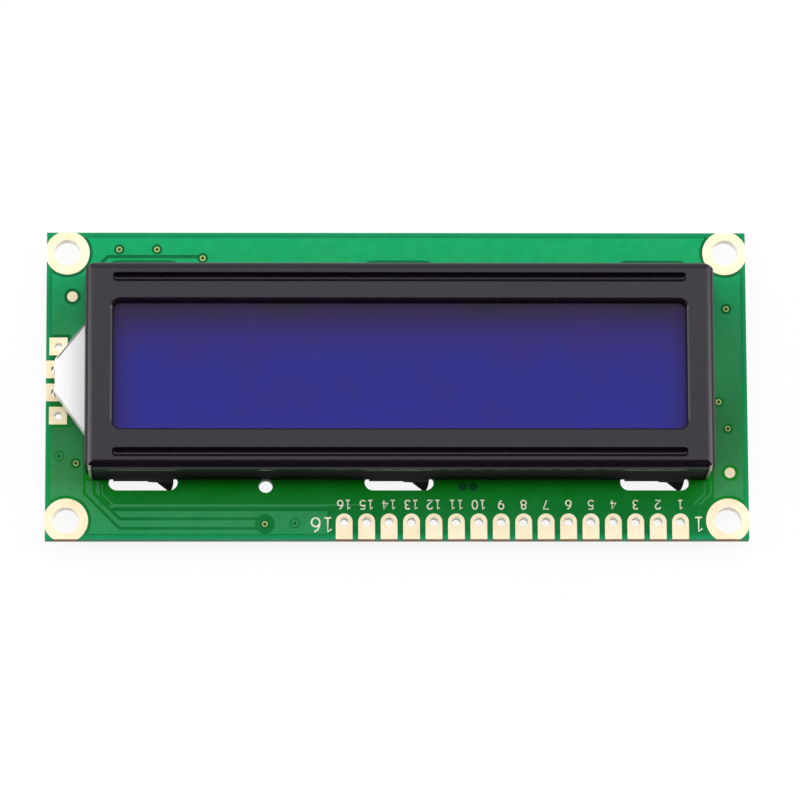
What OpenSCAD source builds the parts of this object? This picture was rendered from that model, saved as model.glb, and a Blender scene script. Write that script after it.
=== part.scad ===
// Character LCD module, 16 characters by 2 lines, with an edge-lit backlight.
// A folded sheet bezel clamps the glass cell and its backlight on a circuit board.
// Frame: origin at the centre of the four mounting holes, on the board's front face.
// X runs along the display, Y away from the header row, Z out of the display.

/* [Board] */
// Width of the board
board_w = 79.7; // [79.4:0.1:84]
// Height of the board
board_h = 35.5; // [35.2:0.1:40]
// Thickness of the laminate
board_t = 1.6; // [1.2:0.1:1.8]
// How far the board's centre lies above the hole pattern's centre
board_shift = 0.12; // [0:0.01:0.15]
// Thickness of foil, with its mask or gold
foil_t = 0.04; // [0.03:0.01:0.06]
// Width of the bare border round the copper
foil_border = 0.6; // [0.4:0.1:0.8]
// Gap round each land and each trace
foil_gap = 0.35; // [0.25:0.05:0.4]
// Wall of a plated barrel
barrel_t = 0.05; // [0.03:0.01:0.08]

/* [Mounting holes] */
// Distance between the holes along the board
hole_pitch_x = 75; // [74.6:0.1:75]
// Distance between the holes across the board
hole_pitch_y = 31; // [30.9:0.1:31.2]
// Finished radius of a mounting hole
hole_r = 1.5; // [1.3:0.05:1.7]
// Radius of the land round a mounting hole
hole_land_r = 2.53; // [2.3:0.01:2.6]

/* [Header row] */
// Number of header holes
pin_count = 16; // [12:1:16]
// Distance between header holes
pin_pitch = 2.54; // [2.4:0.01:2.54]
// Centre of the row, to the right of the hole pattern's centre
header_x = 13.02; // [12.6:0.01:13.1]
// Distance from the row to the lower edge of the board
header_inset = 2; // [1.8:0.1:2.2]
// Finished radius of a header hole
pin_hole_r = 0.5; // [0.4:0.05:0.6]
// Width of a header land
pin_land_w = 1.9; // [1.7:0.1:2]

/* [Backlight pads] */
// Distance between the four pads on the left edge
pad_pitch = 2.67; // [2.5:0.01:2.8]
// Width and height of a pad
pad_size = 2.05; // [1.8:0.05:2.1]
// Distance from the outer pads to the left edge
pad_inset = 1.4; // [1.3:0.1:1.6]
// Finished radius of a pad's hole
pad_hole_r = 0.45; // [0.4:0.05:0.5]

/* [Vias and small holes] */
// Finished radius of a via
via_r = 0.18; // [0.15:0.01:0.25]
// Radius of a via's land
via_land_r = 0.42; // [0.36:0.01:0.46]
// Radius of a test dot
dot_r = 0.6; // [0.4:0.05:0.7]
// Radius of the hole that locates the board when it is made
locating_r = 0.8; // [0.6:0.05:0.9]

/* [Display place] */
// Centre of the display, to the right of the hole pattern's centre
display_x = 0.22; // [0:0.01:0.3]
// Centre of the display, above the hole pattern's centre
display_y = 1.13; // [1:0.01:1.2]

/* [Bezel] */
// Outer width of the bezel
bezel_w = 71; // [70.6:0.1:71.2]
// Outer height of the bezel
bezel_h = 23.8; // [23.6:0.1:24]
// Thickness of the sheet
sheet_t = 0.4; // [0.3:0.05:0.5]
// Outer radius of the folds round the face
bend_r = 1; // [0.8:0.05:1.2]
// Length of the cut across each corner, along the display
relief_x = 1.1; // [1:0.05:1.3]
// Length of the cut across each corner, up the end wall
relief_y = 0.75; // [0.7:0.05:0.9]
// Width of the window
window_w = 64.5; // [63:0.1:65]
// Height of the window
window_h = 14.45; // [14:0.05:15]
// Radius of the window's corners
window_r = 0.8; // [0.5:0.1:1.2]
// Outer radius of the fold round the window
lip_r = 0.5; // [0.5:0.05:0.6]
// Length of the pressed grooves
groove_l = 65; // [62:0.1:66]
// Distance between the pressed grooves
groove_pitch = 20.1; // [19.9:0.05:20.2]
// Depth of the pressed grooves
groove_d = 0.6; // [0.55:0.05:0.65]
// Radius of the grooves' edges
groove_edge_r = 0.2; // [0.1:0.05:0.25]
// Length of the opening in the right end wall
end_gap_l = 9; // [7:0.1:10]
// Height of the opening in the right end wall
end_gap_h = 4.2; // [3.8:0.1:4.6]
// How far that opening lies above the display's centre
end_gap_y = 1.2; // [0.5:0.1:1.5]

/* [Bezel tabs] */
// Distance between tabs along the display
tab_pitch = 29; // [27:0.1:29.5]
// Length of the slots in the board
slot_l = 7.86; // [7.6:0.01:8.2]
// Width of the slots in the board
slot_w = 1.95; // [1.9:0.01:2]
// Distance from the bezel's side to the middle of a slot
slot_out = 0.27; // [0.25:0.01:0.3]
// Width of the shoulder above a tab
shoulder_w = 6.8; // [6.2:0.1:7]
// How deep the shoulder enters its slot
shoulder_d = 1.1; // [0.8:0.1:1.1]
// Width of a tab
tab_w = 2.9; // [2.4:0.1:3.2]
// How far a tab reaches below the board
tab_reach = 1.5; // [1.4:0.1:1.8]
// How far a tab's end is twisted
tab_twist = 40; // [30:1:50]

/* [Glass cell] */
// Thickness of one glass
glass_t = 1.1; // [0.7:0.1:1.2]
// Thickness of the seal between the glasses
cell_gap = 0.02; // [0.01:0.01:0.04]
// Width of the seal
seal_w = 1; // [0.6:0.1:1.5]
// Thickness of a polariser
polariser_t = 0.2; // [0.15:0.05:0.25]
// Width of both glasses
glass_w = 69.2; // [68:0.1:69.4]
// Height of the front glass
front_glass_h = 22.4; // [22.2:0.1:22.5]
// Height of the rear glass
rear_glass_h = 17.8; // [17.4:0.1:17.9]
// How far a polariser reaches past the window, on every side
polariser_margin = 0.9; // [0.6:0.1:1]

/* [Contact strips] */
// Length of a contact strip
strip_l = 66; // [64:0.5:67]
// Width of a contact strip
strip_w = 1.8; // [1.6:0.1:1.8]
// Number of contact fingers under a strip
finger_count = 48; // [40:1:50]
// Distance between contact fingers
finger_pitch = 1.3; // [1.2:0.01:1.32]
// Width of a contact finger
finger_w = 0.8; // [0.5:0.05:0.9]

/* [Backlight] */
// Height of the backlight over the board
light_box_t = 3.6; // [3.4:0.1:3.8]
// Outer height of the backlight housing, across the display
light_box_h = 17.8; // [17:0.1:17.9]
// Gap between the housing and the bezel's end walls
box_gap = 0.13; // [0.08:0.01:0.2]
// Floor of the housing
box_floor = 0.6; // [0.4:0.1:0.7]
// Side wall of the housing
box_wall = 0.9; // [0.7:0.1:1.1]
// Thickness of the reflector film
reflector_t = 0.2; // [0.1:0.05:0.25]
// Thickness of the diffuser film
diffuser_t = 0.4; // [0.3:0.05:0.5]
// Gap between the light guide and the housing
guide_gap = 0.1; // [0.05:0.01:0.15]
// How far the nose reaches past the bezel
nose_l = 3.45; // [3.3:0.05:3.6]
// Width of the nose at the bezel
nose_root_w = 12.6; // [12:0.1:13]
// Width of the nose at its tip
nose_tip_w = 3.6; // [3.5:0.1:3.8]
// Wall of the nose
nose_wall = 0.4; // [0.3:0.05:0.45]
// Centre of the nose at the bezel, above the hole pattern's centre
nose_root_y = 0.3; // [0.1:0.05:0.6]
// Centre of the nose at its tip, above the hole pattern's centre
nose_y = 0.6; // [0.5:0.05:0.7]
// Gap under the nose, over the board
nose_lift = 0.3; // [0.2:0.05:0.4]

/* [Backlight lamp] */
// Width of the lamp
led_w = 3.1; // [2.9:0.05:3.15]
// Depth of the lamp
led_l = 1; // [0.8:0.1:1.2]
// Height of the lamp
led_h = 2; // [1.6:0.1:2]
// Width of a lamp lead
lead_w = 0.5; // [0.4:0.05:0.55]
// Thickness of a lamp lead
lead_t = 0.2; // [0.15:0.05:0.25]
// Length of a lead below the board
lead_reach = 1; // [0.7:0.1:1.1]

/* [Parts on the back] */
// Radius of the controller's cover
controller_r = 7; // [6:0.1:7.5]
// Radius of the driver's cover
driver_r = 6; // [5:0.1:6.5]
// Height of both covers
dome_h = 1.3; // [1:0.1:1.35]
// Length of a chip part
chip_l = 2; // [1.6:0.1:2.2]
// Width of a chip part
chip_w = 1.25; // [0.8:0.05:1.3]
// Height of a chip resistor
resistor_t = 0.5; // [0.4:0.05:0.6]
// Height of a chip capacitor
capacitor_t = 0.9; // [0.7:0.05:1]
// Length of a chip part's end cap
cap_l = 0.4; // [0.3:0.05:0.5]
// Width of a trace
trace_w = 0.3; // [0.2:0.05:0.35]

/* [Hidden] */
$fn = 48;
cut = 1;

// Levels of the stack, from the board up
rear_polariser_z = light_box_t;
rear_glass_z = rear_polariser_z + polariser_t;
seal_z = rear_glass_z + glass_t;
front_glass_z = seal_z + cell_gap;
front_polariser_z = front_glass_z + glass_t;
lip_z = front_polariser_z + polariser_t;
face_z = front_polariser_z + groove_d + sheet_t;
back_z = -board_t;
back_foil_z = back_z - foil_t;

// Board
board_bottom = board_shift - board_h / 2;
board_left = -board_w / 2;
header_y = board_bottom + header_inset;
pin_x = [for (i = [0 : pin_count - 1]) header_x + (i - (pin_count - 1) / 2) * pin_pitch];
hole_at = [for (x = [-1, 1], y = [-1, 1]) [x * hole_pitch_x / 2, y * hole_pitch_y / 2]];
outer_pad_x = board_left + pad_inset;
pad_y = [for (i = [-1.5 : 1.5]) nose_y + i * pad_pitch];
via_at = [
    [-31.6, 15.9], [-27.3, 15.9], [-22.1, 14.9], [37.6, 9], [36.6, -1.8], [37.6, -4.9],
    [-38.3, -8.1], [-36.4, -8.9], [-15, -15.9], [-11.6, -15.8], [7.4, -11.6], [8.6, -11.6]
];
dot_at = [[-36.9, 10.4], [37.75, -10]];
locating_at = [-14.9, -11.5];

// Bezel
side_y = bezel_h / 2;
end_x = bezel_w / 2;
slot_at = [for (i = [-1 : 1], side = [-1, 1]) [i * tab_pitch, side]];
slot_y = side_y + slot_out;
tab_x = (shoulder_w - tab_w) / 2;
groove_r = groove_d - groove_edge_r;
groove_rim = groove_r + sheet_t;
groove_run = groove_l / 2 - groove_d;
strip_y = groove_pitch / 2;

// Backlight
box_w = bezel_w - 2 * (sheet_t + box_gap);
guide_z = box_floor + reflector_t;
guide_top_z = light_box_t - diffuser_t;
nose_tip_x = -end_x - nose_l;
nose_slope = (nose_root_w - nose_tip_w) / 2 / nose_l;
nose_skin = nose_wall * sqrt(1 + nose_slope * nose_slope);
nose_floor_z = nose_lift + nose_wall;
led_x = nose_tip_x + nose_wall;
led_z = nose_floor_z;
lead_z = led_z + 0.4;
lead_x = nose_tip_x + display_x - lead_t;
inner_pad_x = lead_x + lead_t / 2;
lead_y = [pad_y[1], pad_y[2]];
solder_drop = 0.6;
solder_fill = 0.8;

// Parts on the back
controller_at = [13, 2];
driver_at = [-15, 2];
resistor_at = [for (i = [0 : 5]) [3.2 * i - 8.5, 10]];
capacitor_at = [[24, 7.5], [24, 3.5], [-27, 7]];
land_l = cap_l + 0.5;

// ---- Shapes ----

module on_display() {
    translate([display_x, display_y, 0]) children();
}

module round_rect(w, h, r) {
    square([w, h - 2 * r], center = true);
    square([w - 2 * r, h], center = true);
    for (x = [-1, 1], y = [-1, 1]) {
        translate([x * (w / 2 - r), y * (h / 2 - r)]) circle(r);
    }
}

module slot_shape(l, w) {
    square([l - w, w], center = true);
    for (x = [-1, 1]) {
        translate([x * (l - w) / 2, 0]) circle(w / 2);
    }
}

// Straight runs of one width, with round corners, through a list of points
module track(points, w) {
    for (i = [1 : len(points) - 1]) {
        a = points[i - 1];
        b = points[i];
        run = norm(b - a);
        translate(a) rotate(atan2(b[1] - a[1], b[0] - a[0])) {
            translate([0, -w / 2]) square([run, w]);
        }
        translate(b) circle(w / 2);
    }
}

// Sweeps a section round a rectangle: x points outwards from the outline, y up
module frame_sweep(w, h, r) {
    for (turn = [0, 180]) {
        rotate(turn) translate([w / 2, 0, 0]) rotate([90, 0, 0]) {
            linear_extrude(h - 2 * r, center = true) children();
        }
        rotate(turn + 90) translate([h / 2, 0, 0]) rotate([90, 0, 0]) {
            linear_extrude(w - 2 * r, center = true) children();
        }
    }
    for (c = [[1, 1, 0], [-1, 1, 90], [-1, -1, 180], [1, -1, 270]]) {
        translate([c[0] * (w / 2 - r), c[1] * (h / 2 - r), 0]) rotate(c[2]) {
            rotate_extrude(angle = 90) translate([r, 0]) children();
        }
    }
}

module board_outline(inset = 0) {
    translate([0, board_shift]) square([board_w - 2 * inset, board_h - 2 * inset], center = true);
}

// ---- Circuit board ----

module at_holes() {
    for (p = hole_at) {
        translate(p) children();
    }
}

module at_pins() {
    for (x = pin_x) {
        translate([x, header_y]) children();
    }
}

module at_slots() {
    for (s = slot_at) {
        translate([display_x + s[0], display_y + s[1] * slot_y]) children();
    }
}

module at_vias() {
    for (p = via_at) {
        translate(p) children();
    }
}

module at_pads() {
    for (i = [0 : 3]) {
        translate([i % 3 == 0 ? outer_pad_x : inner_pad_x, pad_y[i]]) children();
    }
}

module drill(r) {
    translate([0, 0, back_z - cut]) cylinder(r = r, h = board_t + 2 * cut);
}

module circuit_board() {
    color("darkgreen") difference() {
        translate([0, 0, back_z]) linear_extrude(board_t) board_outline();
        at_holes() drill(hole_r + barrel_t);
        at_pins() drill(pin_hole_r + barrel_t);
        at_pads() drill(pad_hole_r + barrel_t);
        at_vias() drill(via_r + barrel_t);
        translate(locating_at) drill(locating_r);
        at_slots() translate([0, 0, back_z - cut]) {
            linear_extrude(board_t + 2 * cut) slot_shape(slot_l, slot_w);
        }
    }
}

// A barrel with a land of the given outline on both faces
module plated_hole(r) {
    difference() {
        union() {
            translate([0, 0, back_foil_z]) cylinder(r = r + barrel_t, h = board_t + 2 * foil_t);
            for (z = [back_foil_z, 0]) {
                translate([0, 0, z]) linear_extrude(foil_t) children();
            }
        }
        drill(r);
    }
}

module within_board() {
    intersection() {
        children();
        translate([0, 0, back_z - cut]) linear_extrude(board_t + 2 * cut) board_outline();
    }
}

module mounting_hole_plating() {
    color("cornsilk") within_board() at_holes() plated_hole(hole_r) circle(hole_land_r);
}

module pin_land() {
    circle(pin_land_w / 2);
    translate([-pin_land_w / 2, -header_inset]) square([pin_land_w, header_inset]);
}

module header_hole_plating() {
    color("cornsilk") at_pins() plated_hole(pin_hole_r) pin_land();
}

module backlight_hole_plating() {
    color("cornsilk") within_board() at_pads() plated_hole(pad_hole_r) {
        square(pad_size, center = true);
    }
}

module via_plating() {
    color("yellowgreen") at_vias() plated_hole(via_r) circle(via_land_r);
}

module test_dots() {
    color("cornsilk") for (p = dot_at) {
        translate(p) cylinder(r = dot_r, h = foil_t);
    }
}

// Gaps that both copper faces leave round holes and lands
module land_gaps() {
    at_holes() circle(hole_land_r + foil_gap);
    at_pads() square(pad_size + 2 * foil_gap, center = true);
    at_vias() circle(via_land_r + foil_gap / 2);
    at_slots() slot_shape(slot_l + 2 * foil_gap, slot_w + 2 * foil_gap);
    translate(locating_at) circle(locating_r + foil_gap);
}

// The bare strip with the header row, up to the display
module header_field() {
    field_left = pin_x[0] - pin_land_w;
    field_right = display_x + end_x + 0.2;
    translate([field_left, board_bottom - cut]) {
        square([field_right - field_left, display_y - side_y - board_bottom + cut]);
    }
}

module front_copper() {
    top_line_y = 15.05;
    turn_y = -12.4;
    display_left = display_x - end_x;
    display_right = display_x + end_x;
    color("mediumseagreen") linear_extrude(foil_t) {
        difference() {
            board_outline(foil_border);
            translate([display_x, display_y]) {
                square([bezel_w + 0.4, bezel_h + 0.4], center = true);
            }
            translate([display_left + 1.6, -13.7]) square([bezel_w - 1.6, 4]);
            header_field();
            land_gaps();
            for (p = dot_at) {
                translate(p) circle(dot_r + foil_gap);
            }
            track([[-35.4, 0], [-35.4, turn_y], [-31.4, turn_y - 4], [-15, turn_y - 4]], 0.3);
            track([[-34.3, -9], [-34.3, turn_y], [-31.4, turn_y - 2.9], [-15, turn_y - 2.9]], 0.35);
            translate(via_at[8]) circle(via_land_r + 2 * foil_gap);
            track([[-34, 13.9], [-32.9, top_line_y], [-22.1, top_line_y]], 0.4);
        }
        difference() {
            track([[-33.4, -11.4], [-33.4, turn_y], [-32.1, turn_y - 1.3], [-3.6, turn_y - 1.3]], 0.2);
            land_gaps();
        }
        for (x = [34.85, 35.55]) {
            track([[x, -11], [x, turn_y], [x - 1.2, turn_y - 1.2]], 0.2);
        }
    }
}

// Traces from the header row to the controller's cover
module header_traces() {
    reach = 0.72 * controller_r;
    for (i = [0 : pin_count - 3]) {
        x0 = pin_x[i + 2];
        x1 = controller_at[0] + (i / (pin_count - 3) * 2 - 1) * reach;
        y0 = header_y + pin_land_w / 2 - 0.1;
        y1 = y0 + 1;
        y2 = y1 + abs(x1 - x0);
        track([[x0, y0], [x0, y1], [x1, y2], [x1, controller_at[1]]], trace_w);
    }
}

module cover_gaps() {
    translate(controller_at) circle(controller_r + 2 * foil_gap);
    translate(driver_at) circle(driver_r + 2 * foil_gap);
}

module back_copper() {
    color("mediumseagreen") translate([0, 0, back_foil_z]) linear_extrude(foil_t) {
        difference() {
            board_outline(foil_border);
            land_gaps();
            header_field();
            cover_gaps();
            at_chips(resistor_at) chip_field();
            at_chips(capacitor_at) chip_field();
            translate([controller_at[0] - controller_r - 6, -12]) square([2 * controller_r + 18, 14]);
        }
        difference() {
            header_traces();
            translate(controller_at) circle(controller_r);
            at_pins() pin_land();
            land_gaps();
        }
    }
}

module contact_fingers(side) {
    color("gold") on_display() for (i = [0 : finger_count - 1]) {
        x = (i - (finger_count - 1) / 2) * finger_pitch;
        translate([x - finger_w / 2, side * strip_y - strip_w / 2, 0]) cube([finger_w, strip_w, foil_t]);
    }
}

module upper_contact_fingers() {
    contact_fingers(1);
}

module lower_contact_fingers() {
    contact_fingers(-1);
}

// ---- Bezel ----

module fold_profile(w, r, h) {
    translate([-w / 2, -cut]) square([w, h - r + cut]);
    translate([r - w / 2, -cut]) square([w - 2 * r, h + cut]);
    for (x = [-1, 1]) {
        translate([x * (w / 2 - r), h - r]) circle(r);
    }
}

// A closed box with folded edges round its face, reduced by a given inset
module folded_box(inset) {
    w = bezel_w - 2 * inset;
    h = bezel_h - 2 * inset;
    r = bend_r - inset;
    intersection() {
        rotate([90, 0, 90]) linear_extrude(w, center = true) fold_profile(h, r, face_z - inset);
        rotate([90, 0, 0]) linear_extrude(h, center = true) fold_profile(w, r, face_z - inset);
    }
}

// The sheet where it turns down into the window
module lip_section() {
    translate([0, lip_z]) square([sheet_t, face_z - lip_r - lip_z]);
    translate([lip_r, face_z - lip_r]) difference() {
        circle(lip_r);
        circle(lip_r - sheet_t);
        translate([0, -lip_r - cut]) square([lip_r + cut, 2 * (lip_r + cut)]);
        translate([-lip_r - cut, -lip_r - cut]) square([2 * (lip_r + cut), lip_r + cut]);
    }
}

// Half of the sheet's section across a groove, from its middle outwards
module groove_section() {
    edge_z = face_z - groove_edge_r;
    difference() {
        union() {
            translate([0, edge_z]) circle(groove_rim);
            translate([0, face_z - sheet_t]) square([groove_rim, sheet_t]);
        }
        translate([0, edge_z]) circle(groove_r);
        translate([-groove_rim - cut, edge_z - groove_rim - cut]) square([groove_rim + cut, 4 * cut]);
        difference() {
            translate([0, edge_z]) square([groove_d, cut]);
            translate([groove_d, edge_z]) circle(groove_edge_r);
        }
        translate([0, face_z]) square([groove_rim + cut, cut + groove_rim]);
    }
}

module groove() {
    for (turn = [0, 180]) {
        rotate(turn) rotate([90, 0, -90]) {
            linear_extrude(2 * groove_run, center = true) groove_section();
        }
        rotate(turn) translate([groove_run, 0, 0]) rotate(-90) {
            rotate_extrude(angle = 180) groove_section();
        }
    }
}

module at_grooves() {
    for (side = [-1, 1]) {
        translate([0, side * groove_pitch / 2, 0]) children();
    }
}

// A tab on the lower side: a shoulder in the slot, then a narrow end twisted below the board
module tab() {
    translate([-shoulder_w / 2, -side_y, -shoulder_d]) cube([shoulder_w, sheet_t, shoulder_d]);
    translate([tab_x, sheet_t / 2 - side_y, 0]) {
        translate([-tab_w / 2, -sheet_t / 2, back_z]) cube([tab_w, sheet_t, board_t - shoulder_d]);
        translate([0, 0, back_z]) mirror([0, 0, 1]) {
            linear_extrude(tab_reach, twist = tab_twist, slices = 8, $fn = 4) {
                square([tab_w, sheet_t], center = true);
            }
        }
    }
}

module corner_reliefs() {
    for (x = [0, 1], y = [0, 1]) {
        mirror([x, 0, 0]) mirror([0, y, 0]) translate([end_x, side_y, -cut]) {
            linear_extrude(face_z + 2 * cut) {
                polygon([[cut, cut], [cut, -relief_y], [0, -relief_y], [-relief_x, 0], [-relief_x, cut]]);
            }
        }
    }
}

module bezel() {
    nose_gap = 0.2;
    rim_w = window_w + 2 * lip_r;
    rim_h = window_h + 2 * lip_r;
    color([0.13, 0.12, 0.14]) on_display() {
        difference() {
            folded_box(0);
            folded_box(sheet_t);
            translate([0, 0, -2 * cut]) linear_extrude(2 * cut) square(2 * bezel_w, center = true);
            translate([0, 0, lip_z]) linear_extrude(face_z) {
                round_rect(rim_w, rim_h, window_r + lip_r);
            }
            at_grooves() translate([0, 0, lip_z]) linear_extrude(face_z) {
                slot_shape(2 * (groove_run + groove_rim), 2 * groove_rim);
            }
            translate([-end_x - cut, nose_root_y - display_y - nose_root_w / 2 - nose_gap, -cut]) {
                cube([2 * cut, nose_root_w + 2 * nose_gap, light_box_t + nose_gap + cut]);
            }
            translate([end_x - cut, end_gap_y - end_gap_l / 2, -cut]) {
                cube([2 * cut, end_gap_l, end_gap_h + cut]);
            }
            corner_reliefs();
        }
        frame_sweep(window_w, window_h, window_r) lip_section();
        at_grooves() groove();
        for (i = [-1 : 1], side = [0, 1]) {
            mirror([0, side, 0]) translate([i * tab_pitch, 0, 0]) tab();
        }
    }
}

// ---- Glass cell ----

module sheet(w, h, z, t) {
    on_display() translate([-w / 2, -h / 2, z]) cube([w, h, t]);
}

module polariser(z) {
    sheet(window_w + 2 * polariser_margin, window_h + 2 * polariser_margin, z, polariser_t);
}

module front_polariser() {
    color("midnightblue") polariser(front_polariser_z);
}

module front_glass() {
    color("slateblue") sheet(glass_w, front_glass_h, front_glass_z, glass_t);
}

module cell_seal() {
    inner_w = glass_w - 2 * seal_w;
    inner_h = rear_glass_h - 2 * seal_w;
    color("dimgray") difference() {
        sheet(glass_w, rear_glass_h, seal_z, cell_gap);
        sheet(inner_w, inner_h, seal_z - cut, 2 * cut);
    }
}

module rear_glass() {
    color("slateblue") sheet(glass_w, rear_glass_h, rear_glass_z, glass_t);
}

module rear_polariser() {
    color("midnightblue") polariser(rear_polariser_z);
}

module contact_strip(side) {
    color("lightpink") on_display() {
        translate([-strip_l / 2, side * strip_y - strip_w / 2, foil_t]) {
            cube([strip_l, strip_w, front_glass_z - foil_t]);
        }
    }
}

module upper_contact_strip() {
    contact_strip(1);
}

module lower_contact_strip() {
    contact_strip(-1);
}

// ---- Backlight ----

// Outline of the backlight with its nose, drawn in by a wall and by the nose's own skin
module box_outline(wall, skin, tip_x) {
    w = box_w / 2 - wall;
    h = light_box_h / 2 - wall;
    drop = tip_x - nose_tip_x;
    root = nose_root_w / 2 - skin;
    tip = nose_tip_w / 2 - skin + drop * nose_slope;
    root_y = nose_root_y - display_y;
    tip_y = nose_y - display_y + drop / nose_l * (nose_root_y - nose_y);
    polygon([
        [w, -h], [w, h], [-w, h], [-w, root_y + root], [-end_x, root_y + root], [tip_x, tip_y + tip],
        [tip_x, tip_y - tip], [-end_x, root_y - root], [-w, root_y - root], [-w, -h]
    ]);
}

module pocket_outline(gap) {
    square([box_w - 2 * (box_wall + gap), light_box_h - 2 * (box_wall + gap)], center = true);
}

module backlight_housing() {
    color("whitesmoke") on_display() difference() {
        linear_extrude(light_box_t) box_outline(0, 0, nose_tip_x);
        translate([0, 0, box_floor]) linear_extrude(light_box_t) pocket_outline(0);
        translate([0, 0, nose_floor_z]) {
            linear_extrude(guide_top_z - nose_floor_z) box_outline(box_wall, nose_skin, led_x);
        }
        translate([-end_x - nose_l - cut, -end_x, -cut]) {
            cube([nose_l + cut, 2 * end_x, cut + nose_lift]);
        }
        for (y = lead_y) {
            translate([nose_tip_x - cut, y - display_y - lead_w / 2, lead_z]) {
                cube([2 * cut, lead_w, lead_t]);
            }
        }
    }
}

module reflector_film() {
    color("white") on_display() translate([0, 0, box_floor]) {
        linear_extrude(reflector_t) pocket_outline(guide_gap);
    }
}

module light_guide() {
    color("azure") on_display() translate([0, 0, guide_z]) {
        linear_extrude(guide_top_z - guide_z) {
            box_outline(box_wall + guide_gap, nose_skin + guide_gap, led_x + led_l + guide_gap);
        }
    }
}

module diffuser_film() {
    color("ghostwhite") on_display() translate([0, 0, guide_top_z]) {
        linear_extrude(diffuser_t) pocket_outline(guide_gap);
    }
}

module backlight_led() {
    color("lightyellow") translate([display_x + led_x, nose_y - led_w / 2, led_z]) {
        cube([led_l, led_w, led_h]);
    }
}

module lead_shape(w) {
    lead_end_z = back_z - lead_reach;
    run = led_x - nose_tip_x + lead_t;
    translate([lead_x, -w / 2, lead_z]) cube([run, w, lead_t]);
    translate([lead_x, -w / 2, lead_end_z]) cube([lead_t, w, lead_z + lead_t - lead_end_z]);
}

module backlight_leads() {
    color("silver") for (y = lead_y) {
        translate([0, y, 0]) lead_shape(lead_w);
    }
}

module lead_solder() {
    color("silver") for (y = lead_y) {
        difference() {
            translate([inner_pad_x, y, 0]) {
                translate([0, 0, back_foil_z]) cylinder(r = pad_hole_r, h = board_t + foil_t - solder_fill);
                translate([0, 0, back_foil_z - solder_drop]) {
                    cylinder(r1 = lead_w / 2 + 0.1, r2 = pad_size * 0.42, h = solder_drop);
                }
            }
            translate([0, y, 0]) lead_shape(lead_w);
        }
    }
}

// ---- Parts on the back ----

// A low cap of a sphere that hangs below the board's back face
module cover(r, h) {
    ball_r = (r * r + h * h) / (2 * h);
    translate([0, 0, back_z]) rotate_extrude($fn = 96) intersection() {
        translate([0, ball_r - h]) circle(ball_r, $fn = 360);
        translate([0, -h - cut]) square([r + cut, h + cut]);
    }
}

module controller_cover() {
    color("black") translate(controller_at) cover(controller_r, dome_h);
}

module driver_cover() {
    color("black") translate(driver_at) cover(driver_r, dome_h);
}

module at_chips(places) {
    for (p = places) {
        translate(p) children();
    }
}

module chip_field() {
    square([chip_w + 2 * foil_gap + 0.2, chip_l + 1 + 2 * foil_gap], center = true);
}

module chip_lands() {
    color("silver") for (places = [resistor_at, capacitor_at]) {
        at_chips(places) for (side = [-1, 1]) {
            translate([0, side * (chip_l / 2 - cap_l / 2 + 0.1), back_foil_z + foil_t / 2]) {
                cube([chip_w + 0.2, land_l, foil_t], center = true);
            }
        }
    }
}

module chip_body(t) {
    translate([0, 0, back_foil_z - t / 2]) cube([chip_w, chip_l - 2 * cap_l, t], center = true);
}

module chip_ends(t) {
    for (side = [-1, 1]) {
        translate([0, side * (chip_l - cap_l) / 2, back_foil_z - t / 2]) {
            cube([chip_w, cap_l, t], center = true);
        }
    }
}

module chip_resistors() {
    color("black") at_chips(resistor_at) chip_body(resistor_t);
}

module chip_resistor_ends() {
    color("silver") at_chips(resistor_at) chip_ends(resistor_t);
}

module chip_capacitors() {
    color("tan") at_chips(capacitor_at) chip_body(capacitor_t);
}

module chip_capacitor_ends() {
    color("silver") at_chips(capacitor_at) chip_ends(capacitor_t);
}

circuit_board();
front_copper();
back_copper();
mounting_hole_plating();
header_hole_plating();
backlight_hole_plating();
via_plating();
test_dots();
upper_contact_fingers();
lower_contact_fingers();
chip_lands();
bezel();
front_polariser();
front_glass();
cell_seal();
rear_glass();
rear_polariser();
upper_contact_strip();
lower_contact_strip();
diffuser_film();
light_guide();
reflector_film();
backlight_housing();
backlight_led();
backlight_leads();
lead_solder();
controller_cover();
driver_cover();
chip_resistors();
chip_resistor_ends();
chip_capacitors();
chip_capacitor_ends();
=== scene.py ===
"""Looks of the character LCD module: materials, printed numbers, mask details, floor, light and camera."""

import math

import bmesh
import bpy
from mathutils import Matrix, Vector


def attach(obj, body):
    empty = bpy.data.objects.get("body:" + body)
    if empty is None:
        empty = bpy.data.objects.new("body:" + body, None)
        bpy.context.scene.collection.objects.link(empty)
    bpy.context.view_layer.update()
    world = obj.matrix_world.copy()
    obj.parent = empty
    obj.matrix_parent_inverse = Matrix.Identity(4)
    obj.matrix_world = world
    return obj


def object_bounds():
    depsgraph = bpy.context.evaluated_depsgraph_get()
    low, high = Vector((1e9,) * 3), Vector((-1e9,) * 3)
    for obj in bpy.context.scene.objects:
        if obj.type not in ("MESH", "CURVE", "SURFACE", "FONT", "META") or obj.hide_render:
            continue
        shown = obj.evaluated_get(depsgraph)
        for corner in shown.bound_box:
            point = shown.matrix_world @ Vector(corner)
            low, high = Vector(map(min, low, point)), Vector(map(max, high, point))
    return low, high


MM = 0.001
BODY = "root"


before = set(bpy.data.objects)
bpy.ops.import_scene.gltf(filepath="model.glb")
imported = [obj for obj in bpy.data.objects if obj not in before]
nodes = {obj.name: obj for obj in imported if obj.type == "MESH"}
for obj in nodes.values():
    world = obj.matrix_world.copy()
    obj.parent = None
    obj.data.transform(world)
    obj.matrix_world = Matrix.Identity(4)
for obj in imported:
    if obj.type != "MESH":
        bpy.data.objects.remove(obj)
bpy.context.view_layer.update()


# ---- Places on the module, in mm, as the source has them ----

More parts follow.
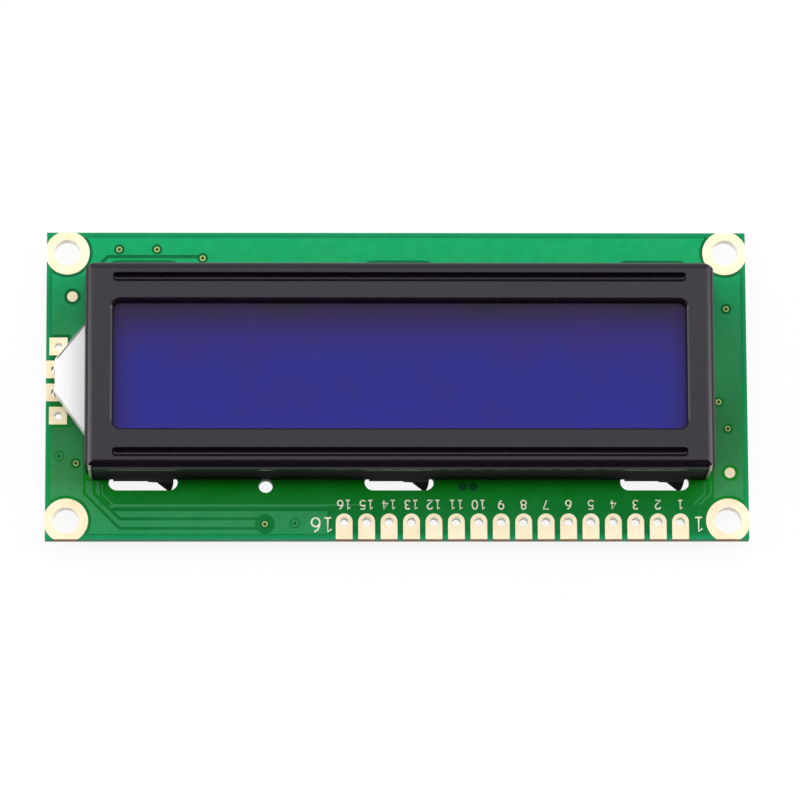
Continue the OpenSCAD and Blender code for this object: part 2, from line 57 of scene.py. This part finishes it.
FOIL = 0.04  # top of the copper, above the board's front
BACK = -1.6  # the board's back
BOARD_X, BOARD_LOW, BOARD_HIGH = 39.85, -17.63, 17.87
BOARD_MIDDLE, BOARD_HALF = (BOARD_LOW + BOARD_HIGH) / 2, (BOARD_HIGH - BOARD_LOW) / 2
HOLE_X = 37.5
LAND_CHORD = 2.72  # length of a hole's land along the board's lower edge
PINS = [13.02 + 2.54 * (i - 7.5) for i in range(16)]
PIN_LAND = 1.9
VIA_HOLE, VIA_LAND = 0.17, 0.47
OPEN_VIAS = [
    (-31.6, 15.9), (-27.3, 15.9), (-22.1, 14.9), (37.6, 9), (36.6, -1.8), (37.6, -4.9),
    (-36.4, -8.9), (-15, -15.9),
]
TENTED_VIAS = [(-38.3, -8.1), (-11.6, -15.8)]
# Two vias just below the bezel, darkened with painted shade
VIAS_UNDER_PAINTED_SHADE = [(7.4, -11.6), (8.6, -11.6)]
DISPLAY_X = 0.22
BEZEL_LEFT, BEZEL_RIGHT, BEZEL_LOW = -35.28, 35.72, -10.77
BEZEL_FACE, BEZEL_BEND = 7.02, 1.0
NOSE_TOP = 3.6


# ---- Materials ----


def srgb(r, g, b):
    """Linear colour, with alpha, from 0-255 sRGB values."""
    def linear(c):
        c /= 255
        return c / 12.92 if c <= 0.04045 else ((c + 0.055) / 1.055) ** 2.4
    return linear(r), linear(g), linear(b), 1.0


class Surface:
    """A Principled material and short ways to add nodes to it."""

    MIX_FACTOR, MIX_A, MIX_B, MIX_COLOUR = 0, 6, 7, 2  # the Mix node's sockets for colours

    def __init__(self, name, **sockets):
        self.material = bpy.data.materials.new(name)
        self.material.use_nodes = True
        self.tree = self.material.node_tree
        self.shader = self.tree.nodes["Principled BSDF"]
        for key, value in sockets.items():
            self.shader.inputs[key].default_value = value
        coords = self.tree.nodes.new("ShaderNodeTexCoord")
        self.place = coords.outputs["Object"]

    def feed(self, source, socket):
        """Gives a node's socket a value or another node's output."""
        if isinstance(source, (int, float, tuple)):
            socket.default_value = source
        else:
            self.tree.links.new(source, socket)

    def put(self, source, socket):
        self.feed(source, self.shader.inputs[socket])

    def axis(self, name):
        split = self.tree.nodes.new("ShaderNodeSeparateXYZ")
        self.feed(self.place, split.inputs[0])
        return split.outputs[name]

    def along(self, axis, start, end):
        """0 to 1 between two places, in mm, on an axis of the frame."""
        return self.remap(self.axis(axis), start * MM, end * MM, 0, 1)

    def noise(self, scale, detail=2.0, roughness=0.5):
        node = self.tree.nodes.new("ShaderNodeTexNoise")
        node.inputs["Scale"].default_value = scale
        node.inputs["Detail"].default_value = detail
        node.inputs["Roughness"].default_value = roughness
        self.feed(self.place, node.inputs["Vector"])
        return node.outputs["Fac"]

    def remap(self, source, start, end, low, high):
        node = self.tree.nodes.new("ShaderNodeMapRange")
        for socket, value in zip(("From Min", "From Max", "To Min", "To Max"), (start, end, low, high)):
            node.inputs[socket].default_value = value
        self.feed(source, node.inputs["Value"])
        return node.outputs["Result"]

    def math(self, operation, a, b=0):
        node = self.tree.nodes.new("ShaderNodeMath")
        node.operation = operation
        self.feed(a, node.inputs[0])
        self.feed(b, node.inputs[1])
        return node.outputs[0]

    def ramp(self, source, *stops):
        node = self.tree.nodes.new("ShaderNodeValToRGB")
        elements = node.color_ramp.elements
        while len(elements) < len(stops):
            elements.new(0.5)
        for element, (place, colour) in zip(elements, stops):
            element.position = place
            element.color = colour
        self.feed(source, node.inputs["Fac"])
        return node.outputs["Color"]

    def mix(self, factor, a, b):
        node = self.tree.nodes.new("ShaderNodeMix")
        node.data_type = "RGBA"
        self.feed(factor, node.inputs[self.MIX_FACTOR])
        self.feed(a, node.inputs[self.MIX_A])
        self.feed(b, node.inputs[self.MIX_B])
        return node.outputs[self.MIX_COLOUR]

    def bump(self, height, strength, distance):
        node = self.tree.nodes.new("ShaderNodeBump")
        node.inputs["Strength"].default_value = strength
        node.inputs["Distance"].default_value = distance * MM
        self.feed(height, node.inputs["Height"])
        self.put(node.outputs["Normal"], "Normal")


def mottled(name, dark, light, scale, bump=0.0, **sockets):
    """A surface with a slow change of tone, uneven gloss and a fine bump."""
    s = Surface(name, **sockets)
    s.put(s.ramp(s.noise(scale), (0.3, dark), (0.7, light)), "Base Color")
    rough = sockets["Roughness"]
    s.put(s.remap(s.noise(scale * 4), 0, 1, rough * 0.85, rough * 1.15), "Roughness")
    if bump:
        s.bump(s.noise(scale * 12, 3), bump, 0.02)
    return s.material


def board_mask(name, *tones, back=srgb(0, 96, 54)):
    """Solder mask. Tones are places up the board, in mm, with their greens, and back is the back's green."""
    s = Surface(name, Roughness=0.5, IOR=1.16)
    stops = [((y - BOARD_LOW) / (BOARD_HIGH - BOARD_LOW), tone) for y, tone in tones]
    base = s.ramp(s.along("Y", BOARD_LOW, BOARD_HIGH), *stops)
    base = s.mix(s.along("Z", BACK + 0.15, BACK + 0.05), base, back)
    # A teal border along the board's edges
    inner, outer = 0.75, 0.25
    from_middle_x = s.math("ABSOLUTE", s.axis("X"))
    from_middle_y = s.math("ABSOLUTE", s.math("SUBTRACT", s.axis("Y"), BOARD_MIDDLE * MM))
    ends = s.remap(from_middle_x, (BOARD_X - inner) * MM, (BOARD_X - outer) * MM, 0, 1)
    sides = s.remap(from_middle_y, (BOARD_HALF - inner) * MM, (BOARD_HALF - outer) * MM, 0, 1)
    border = s.math("MULTIPLY", s.math("MAXIMUM", ends, sides), 0.8)
    base = s.mix(border, base, srgb(14, 152, 94))
    # Light clouds and fine dark ones
    base = s.mix(s.remap(s.noise(160), 0.35, 0.65, 0, 0.1), base, srgb(60, 170, 100))
    base = s.mix(s.remap(s.noise(900, 3), 0.35, 0.65, 0, 0.1), base, srgb(0, 60, 30))
    s.put(base, "Base Color")
    s.put(s.remap(s.noise(600), 0, 1, 0.42, 0.58), "Roughness")
    s.bump(s.noise(1400), 0.1, 0.02)
    return s.material


def polariser():
    """Deep blue film, with painted shade: violet and darker towards the upper edge and the ends of the
    window.
    """
    s = Surface("film_blue", Roughness=0.16, IOR=1.16)
    window_top, window_low = 8.6, -6.2
    base = s.ramp(
        s.along("Y", window_top, window_low),
        (0, srgb(40, 34, 48)), (0.1, srgb(46, 36, 72)), (0.28, srgb(46, 40, 114)),
        (0.5, srgb(42, 42, 130)), (1, srgb(42, 42, 132)),
    )
    # Painted shade towards the ends of the window
    dim_start, dim_end = 29.5, 32.3
    from_middle = s.math("ABSOLUTE", s.math("SUBTRACT", s.axis("X"), DISPLAY_X * MM))
    base = s.mix(s.remap(from_middle, dim_start * MM, dim_end * MM, 0, 0.45), base, srgb(46, 34, 66))
    s.put(s.mix(s.remap(s.noise(160, 3), 0.4, 0.7, 0, 0.25), base, srgb(56, 38, 100)), "Base Color")
    return s.material


def bezel_paint():
    """Gloss black on the face, and duller low on the sides."""
    s = Surface("bezel_paint", Roughness=0.2, IOR=1.38)
    speck = s.noise(2600, roughness=0.7)
    s.put(s.ramp(speck, (0.3, srgb(12, 4, 16)), (0.75, srgb(26, 18, 32))), "Base Color")
    gloss = s.remap(s.noise(700), 0, 1, 0.16, 0.25)
    bend_low, dull_top = 5.9, 5.2
    dull = s.remap(s.along("Z", bend_low, dull_top), 0, 1, 0, 0.95)
    s.put(s.math("MAXIMUM", gloss, dull), "Roughness")
    s.bump(s.noise(900), 0.04, 0.01)
    return s.material


def plated():
    """Pale gold on the lands, and paler inside the holes, where the paler barrels are painted light."""
    s = Surface("plated_land", Metallic=0.05, Roughness=0.42, IOR=1.3)
    land = s.ramp(s.noise(500), (0.3, srgb(250, 232, 190)), (0.7, srgb(254, 243, 214)))
    fade = 0.08
    # Paler barrels inside the holes: painted light
    barrel = s.math("MULTIPLY", s.along("Z", -0.02, -0.02 - fade), s.along("Z", BACK, BACK + fade))
    s.put(s.mix(barrel, land, srgb(255, 253, 248)), "Base Color")
    s.put(s.remap(s.noise(1500), 0, 1, 0.34, 0.5), "Roughness")
    s.bump(s.noise(2500), 0.08, 0.01)
    return s.material


# The vivid green at -11, in front of the bezel's lower side, is painted light through the bare laminate
board_green = board_mask(
    "board_mask",
    (BOARD_LOW, srgb(0, 112, 56)), (-14, srgb(0, 118, 40)), (-11, srgb(0, 146, 14)),
    (4, srgb(8, 92, 46)), (BOARD_HIGH, srgb(0, 108, 62)),
)
# The tones up the copper's mask are painted light and shade: brighter teal above the bezel, darker beside its
# ends, lighter below it
front_green = board_mask(
    "copper_mask",
    (BOARD_LOW, srgb(34, 144, 84)), (-11, srgb(60, 146, 84)), (-4, srgb(42, 122, 70)),
    (6, srgb(42, 134, 80)), (12, srgb(22, 156, 94)), (BOARD_HIGH, srgb(14, 164, 100)),
)
back_green = board_mask(
    "copper_mask_back",
    (BOARD_LOW, srgb(30, 140, 80)), (BOARD_HIGH, srgb(16, 150, 92)), back=srgb(24, 146, 86),
)
via_green = mottled(
    "via_mask", srgb(130, 170, 84), srgb(176, 204, 120), 900, 0.1, Roughness=0.4, IOR=1.3
)
white = mottled("housing_white", srgb(253, 249, 250), srgb(255, 253, 254), 150, 0.05, Roughness=0.3)
lamp_face = mottled("lamp_face", srgb(240, 232, 170), srgb(250, 244, 200), 500, Roughness=0.3)
rear_film = mottled("rear_film", srgb(40, 34, 70), srgb(50, 44, 90), 200, Roughness=0.2)
seal = mottled("seal_epoxy", srgb(120, 120, 124), srgb(150, 150, 152), 600, 0.1, Roughness=0.5)
acrylic = mottled("guide_acrylic", srgb(214, 228, 236), srgb(232, 242, 246), 60, Roughness=0.1)
glaze = mottled("resistor_glaze", srgb(14, 14, 16), srgb(32, 32, 34), 1200, 0.1, Roughness=0.35)
tan = mottled("capacitor_tan", srgb(170, 138, 96), srgb(196, 164, 120), 900, 0.1, Roughness=0.5)
glass = mottled("cell_glass", srgb(70, 90, 110), srgb(90, 110, 130), 80, Roughness=0.08)
film = mottled("film_white", srgb(236, 236, 236), srgb(248, 248, 248), 200, Roughness=0.5)
rubber = mottled("contact_rubber", srgb(206, 150, 156), srgb(226, 172, 176), 700, 0.15, Roughness=0.6)
epoxy = mottled("cover_epoxy", srgb(12, 12, 13), srgb(26, 26, 27), 350, 0.2, Roughness=0.28)
tin = mottled(
    "bright_tin", srgb(205, 205, 202), srgb(230, 230, 226), 900, 0.15, Metallic=1.0, Roughness=0.3
)
gold = plated()

for material, names in (
    (board_green, ["circuit_board"]),
    (front_green, ["front_copper"]),
    (back_green, ["back_copper"]),
    (via_green, ["via_plating"]),
    (gold, ["mounting_hole_plating", "header_hole_plating", "backlight_hole_plating", "test_dots"]),
    (gold, ["upper_contact_fingers", "lower_contact_fingers"]),
    (bezel_paint(), ["bezel"]),
    (polariser(), ["front_polariser"]),
    (glass, ["front_glass", "rear_glass"]),
    (seal, ["cell_seal"]),
    (rear_film, ["rear_polariser"]),
    (rubber, ["upper_contact_strip", "lower_contact_strip"]),
    (film, ["diffuser_film", "reflector_film"]),
    (acrylic, ["light_guide"]),
    (white, ["backlight_housing"]),
    (lamp_face, ["backlight_led"]),
    (tin, ["backlight_leads", "lead_solder", "chip_lands", "chip_resistor_ends", "chip_capacitor_ends"]),
    (epoxy, ["controller_cover", "driver_cover"]),
    (glaze, ["chip_resistors"]),
    (tan, ["chip_capacitors"]),
):
    for name in names:
        nodes[name].data.materials.clear()
        nodes[name].data.materials.append(material)


# ---- Pieces the CAD leaves to the scene ----


def piece(name, mesh, material):
    thing = bpy.data.objects.new(name, mesh)
    bpy.context.scene.collection.objects.link(thing)
    mesh.materials.clear()
    mesh.materials.append(material)
    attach(thing, BODY)


def finished_mesh(bm, name):
    bmesh.ops.recalc_face_normals(bm, faces=bm.faces)
    mesh = bpy.data.meshes.new(name)
    bm.to_mesh(mesh)
    bm.free()
    return mesh


def plates(name, *shapes):
    """A mesh of plates, in mm: each has its rings, one outline or an outer and an inner ring of as many
    points, its underside and its top."""
    bm = bmesh.new()
    for rings, low, high in shapes:
        bottom, top = (
            [[bm.verts.new((x * MM, y * MM, z * MM)) for x, y in ring] for ring in rings] for z in (low, high)
        )
        count = len(rings[0])
        for i in range(count):
            j = (i + 1) % count
            for below, above in zip(bottom, top):
                bm.faces.new((below[i], below[j], above[j], above[i]))
            if len(rings) == 2:
                for outer, inner in (bottom, top):
                    bm.faces.new((outer[i], outer[j], inner[j], inner[i]))
        if len(rings) == 1:
            bm.faces.new(bottom[0])
            bm.faces.new(top[0])
    return finished_mesh(bm, name)


def circle(x, y, r, count=24):
    turns = (2 * math.pi * i / count for i in range(count))
    return [(x + r * math.cos(t), y + r * math.sin(t)) for t in turns]


def rectangle(x, y, w, h):
    return [(x + i * w / 2, y + j * h / 2) for i, j in ((-1, -1), (1, -1), (1, 1), (-1, 1))]


# Dark plugs in the vias. The mask runs over the lands' rims, and right over the tented vias
MASK_LOW, MASK_HIGH = FOIL + 0.002, FOIL + 0.02
OPEN_R = 0.34
plug = mottled("via_plug", srgb(40, 36, 12), srgb(70, 62, 24), 1500, 0.1, Roughness=0.6, IOR=1.2)
# A darker mask over the lands' rims, and painted shade over the two vias just below the bezel
dark_mask_and_shade = mottled("dark_mask_and_shade", srgb(4, 84, 42), srgb(14, 100, 56), 900, 0.1, Roughness=0.5, IOR=1.16)
plugs = [([circle(x, y, VIA_HOLE, 16)], -0.2, FOIL) for x, y in OPEN_VIAS + TENTED_VIAS + VIAS_UNDER_PAINTED_SHADE]
caps = [([circle(x, y, VIA_LAND)], MASK_LOW, MASK_HIGH) for x, y in TENTED_VIAS]
rims = [([circle(x, y, VIA_LAND), circle(x, y, OPEN_R)], MASK_LOW, MASK_HIGH) for x, y in OPEN_VIAS]
rims += [([circle(x, y, 0.18)], MASK_HIGH + 0.001, MASK_HIGH + 0.005) for x, y in TENTED_VIAS]
# Over the two vias just below the bezel, a whole disc of darker mask is painted shade from the bezel
rims += [([circle(x, y, VIA_LAND)], MASK_LOW, MASK_HIGH) for x, y in VIAS_UNDER_PAINTED_SHADE]
piece("via_plugs", plates("via_plugs", *plugs), plug)
piece("via_caps", plates("via_caps", *caps), front_green)
piece("via_rims", plates("via_rims", *rims), dark_mask_and_shade)

# A bare line that parts two traces at the lower left
gap = [(-32.6, -14.42), (-7.3, -14.42), (-7.3, -13.95), (-32.1, -13.95)]
piece("trace_gap", plates("trace_gap", ([gap], FOIL + 0.001, FOIL + 0.006)), board_green)

# The cut edges of the lands on the board's lower edge
EDGE_T = 0.02
copper_edge = mottled(
    "cut_copper", srgb(130, 86, 40), srgb(176, 122, 64), 900, 0.1, Roughness=0.5, IOR=1.2
)
cuts = [
    ([rectangle(x, BOARD_LOW - EDGE_T / 2, w, EDGE_T)], BACK + 0.1, -0.05)
    for x, w in [(x, PIN_LAND) for x in PINS] + [(-HOLE_X, LAND_CHORD), (HOLE_X, LAND_CHORD)]
]
piece("land_edges", plates("land_edges", *cuts), copper_edge)


def arc(x, y, rx, ry, start, end, count=14):
    turns = (math.radians(start + (end - start) * i / count) for i in range(count + 1))
    return [(x + rx * math.cos(t), y + ry * math.sin(t)) for t in turns]


# Each digit as pen strokes in a box 0.6 wide and 1 high
DIGIT_W, DIGIT_STEP = 0.6, 0.88
SIX = [arc(0.3, 0.31, 0.29, 0.31, 180, -180, 22), [(0.01, 0.31), (0.04, 0.58), (0.16, 0.84), (0.4, 1)]]
DIGITS = {
    "0": [arc(0.3, 0.5, 0.29, 0.5, 0, 360, 24)],
    "1": [[(0.06, 0.8), (0.32, 1), (0.32, 0)], [(0.08, 0), (0.56, 0)]],
    "2": [arc(0.3, 0.7, 0.29, 0.3, 165, -30) + [(0.02, 0), (0.6, 0)]],
    "3": [arc(0.28, 0.76, 0.26, 0.24, 150, -90) + arc(0.28, 0.27, 0.3, 0.27, 90, -150)],
    "4": [[(0.44, 0), (0.44, 1), (0, 0.32), (0.62, 0.32)]],
    "5": [[(0.56, 1), (0.1, 1), (0.05, 0.56)] + arc(0.27, 0.32, 0.31, 0.32, 125, -150)],
    "6": SIX,
    "7": [[(0, 1), (0.6, 1), (0.22, 0)]],
    "8": [arc(0.3, 0.76, 0.25, 0.24, -90, 270, 20), arc(0.3, 0.27, 0.29, 0.27, 90, 450, 22)],
    "9": [[(DIGIT_W - x, 1 - y) for x, y in stroke] for stroke in SIX],
}


def number(text, x, y, height):
    """Pen strokes, in mm, of a number that reads from the board's far side, centred at a place."""
    width = DIGIT_STEP * (len(text) - 1) + DIGIT_W
    for i, digit in enumerate(text):
        for stroke in DIGITS[digit]:
            yield [
                (x - (DIGIT_STEP * i + u - width / 2) * height, y - (v - 0.5) * height) for u, v in stroke
            ]


def numbers_mesh(name, labels):
    """Flat pen strokes of all the numbers, each with its text, place, height and share of the pen."""
    pen_r, flatten = 0.1, 0.2
    curve = bpy.data.curves.new(name, "CURVE")
    curve.dimensions = "3D"
    curve.bevel_depth = pen_r * MM
    curve.bevel_resolution = 2
    curve.use_fill_caps = True
    for text, x, y, height, pen in labels:
        for stroke in number(text, x, y, height):
            spline = curve.splines.new("POLY")
            spline.points.add(len(stroke) - 1)
            for point, (u, v) in zip(spline.points, stroke):
                point.co = (u * MM, v * MM, 0, 1)
                point.radius = pen
    path = bpy.data.objects.new("pen_path", curve)
    bpy.context.scene.collection.objects.link(path)
    mesh = bpy.data.meshes.new_from_object(path)
    bpy.data.objects.remove(path)
    mesh.name = name
    lift = Matrix.Translation((0, 0, (FOIL + 0.005) * MM))
    mesh.transform(lift @ Matrix.Diagonal((1, 1, flatten, 1)))
    return mesh


PIN_LABEL_Y = -13.68
ink = mottled("print_ink", srgb(226, 232, 200), srgb(248, 250, 226), 1500, 0.1, Roughness=0.5)
labels = [(str(16 - i), x, PIN_LABEL_Y, 1.0, 0.85) for i, x in enumerate(PINS)]
labels += [("16", -8.55, -16.0, 1.6, 1), ("1", 34.15, -15.95, 1.6, 1)]
piece("pin_numbers", numbers_mesh("pin_numbers", labels), ink)


def raw_edge(name, x_start, x_end):
    """Bare steel where the sheet was cut, up the bezel's lower side and half round its bend."""
    stand, depth = 0.02, 0.38
    turns = [math.radians(10 * i) for i in range(6)]
    profile = [(BEZEL_LOW, 0.0)] + [
        (BEZEL_LOW + BEZEL_BEND * (1 - math.cos(t)), BEZEL_FACE - BEZEL_BEND + BEZEL_BEND * math.sin(t))
        for t in turns
    ]
    bm = bmesh.new()
    (outer_a, inner_a), (outer_b, inner_b) = (
        [[bm.verts.new((x * MM, (y + shift) * MM, z * MM)) for y, z in profile] for shift in (-stand, depth)]
        for x in (x_start, x_end)
    )
    for i in range(len(profile) - 1):
        for a, b in ((outer_a, outer_b), (inner_a, inner_b), (outer_a, inner_a), (outer_b, inner_b)):
            bm.faces.new((a[i], a[i + 1], b[i + 1], b[i]))
    for i in (0, len(profile) - 1):
        bm.faces.new((outer_a[i], outer_b[i], inner_b[i], inner_a[i]))
    return finished_mesh(bm, name)


RAW_NEAR, RAW_FAR = 0.43, 0.76
raw_steel = mottled(
    "raw_steel", srgb(176, 178, 160), srgb(216, 214, 196), 900, 0.1, Metallic=0.5, Roughness=0.4
)
for name, end, turn in (("raw_edge_left", BEZEL_LEFT, 1), ("raw_edge_right", BEZEL_RIGHT, -1)):
    piece(name, raw_edge(name, end + turn * RAW_NEAR, end + turn * RAW_FAR), raw_steel)

# A thin dark grey line along the upper slope of the backlight's nose
NOSE_LINE_W = 0.13
nose_line_grey = mottled("nose_line_grey", srgb(74, 66, 70), srgb(110, 100, 104), 900, Roughness=0.5)
slope_root, slope_tip = Vector((-35.3, 6.55)), Vector((-38.5, 2.55))
across = (slope_tip - slope_root).orthogonal().normalized() * -NOSE_LINE_W
nose_line_outline = [tuple(p) for p in (slope_root, slope_tip, slope_tip - across, slope_root - across)]
piece("nose_dark_line", plates("nose_dark_line", ([nose_line_outline], NOSE_TOP - 0.5, NOSE_TOP + 0.01)), nose_line_grey)


# ---- Stage, light and camera ----


def floor_paper():
    """White paper: seen directly or in a reflection, most of its white stays in shadow too."""
    s = Surface("floor_paper", Roughness=0.9)
    s.put(s.ramp(s.noise(40), (0.3, srgb(244, 244, 244)), (0.7, srgb(250, 250, 250))), "Base Color")
    path = s.tree.nodes.new("ShaderNodeLightPath")
    seen = s.math("MAXIMUM", path.outputs["Is Camera Ray"], path.outputs["Is Glossy Ray"])
    seen = s.math("MAXIMUM", seen, path.outputs["Is Transmission Ray"])
    glow = s.tree.nodes.new("ShaderNodeEmission")
    glow.inputs["Strength"].default_value = 1.0
    blend = s.tree.nodes.new("ShaderNodeMixShader")
    s.feed(s.math("MULTIPLY", seen, 0.9), blend.inputs[0])
    s.feed(s.shader.outputs[0], blend.inputs[1])
    s.feed(glow.outputs[0], blend.inputs[2])
    s.feed(blend.outputs[0], s.tree.nodes["Material Output"].inputs[0])
    return s.material


FLOOR_HALF = 6
floor_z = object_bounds()[0][2]
floor_mesh = bpy.data.meshes.new("floor")
floor_corners = [(x, y, floor_z) for x, y in rectangle(0, 0, 2 * FLOOR_HALF, 2 * FLOOR_HALF)]
floor_mesh.from_pydata(floor_corners, [], [(0, 1, 2, 3)])
floor_mesh.materials.append(floor_paper())
floor = bpy.data.objects.new("floor", floor_mesh)
bpy.context.scene.collection.objects.link(floor)


def light_room():
    """White walls, and dim ones on the side that the bezel's front bends mirror."""
    world = bpy.data.worlds.new("room")
    bpy.context.scene.world = world
    world.use_nodes = True
    tree = world.node_tree
    ways = tree.nodes.new("ShaderNodeTexCoord")
    split = tree.nodes.new("ShaderNodeSeparateXYZ")
    spread = tree.nodes.new("ShaderNodeMapRange")
    spread.inputs["From Min"].default_value = -1
    fade = tree.nodes.new("ShaderNodeValToRGB")
    dim, bright = fade.color_ramp.elements
    dim.position, dim.color = 0.47, (0.05, 0.05, 0.05, 1)
    bright.position, bright.color = 0.62, (1, 1, 1, 1)
    background = tree.nodes["Background"]
    background.inputs["Strength"].default_value = 1.15
    tree.links.new(ways.outputs["Generated"], split.inputs[0])
    tree.links.new(split.outputs["Y"], spread.inputs["Value"])
    tree.links.new(spread.outputs["Result"], fade.inputs["Fac"])
    tree.links.new(fade.outputs["Color"], background.inputs["Color"])


def softbox(name, place, width, height, strength):
    """An area lamp that faces the module, of an even brightness, where 1 is as bright as white paper."""
    data = bpy.data.lights.new(name, "AREA")
    data.shape = "RECTANGLE"
    data.size, data.size_y = width, height
    data.energy = strength * math.pi * width * height
    lamp = bpy.data.objects.new(name, data)
    bpy.context.scene.collection.objects.link(lamp)
    lamp.location = place
    lamp.rotation_euler = (-Vector(place)).to_track_quat("-Z", "Y").to_euler()


light_room()
softbox("overhead", (0, 0.36, 1.0), 1.1, 0.6, 1.1)
softbox("strip_left", (-1.0, 0.12, 0.84), 0.3, 1.2, 6.0)
softbox("strip_right", (1.0, 0.12, 0.84), 0.3, 1.2, 6.0)

YAW, PITCH, ROLL = -1.34, 11.2, -0.24
view = Matrix.Identity(4)
for angle, axis in ((YAW, "Y"), (PITCH, "X"), (ROLL, "Z")):
    view = view @ Matrix.Rotation(math.radians(angle), 4, axis)
camera_data = bpy.data.cameras.new("camera")
camera_data.lens = 268.07
camera_data.sensor_width = 36
camera_data.clip_start = 0.01
camera = bpy.data.objects.new("camera", camera_data)
bpy.context.scene.collection.objects.link(camera)
camera.matrix_world = Matrix.Translation(view @ (Vector((0.353, -1.553, 677)) * MM)) @ view
bpy.context.scene.camera = camera
bpy.context.scene.view_settings.view_transform = "Standard"
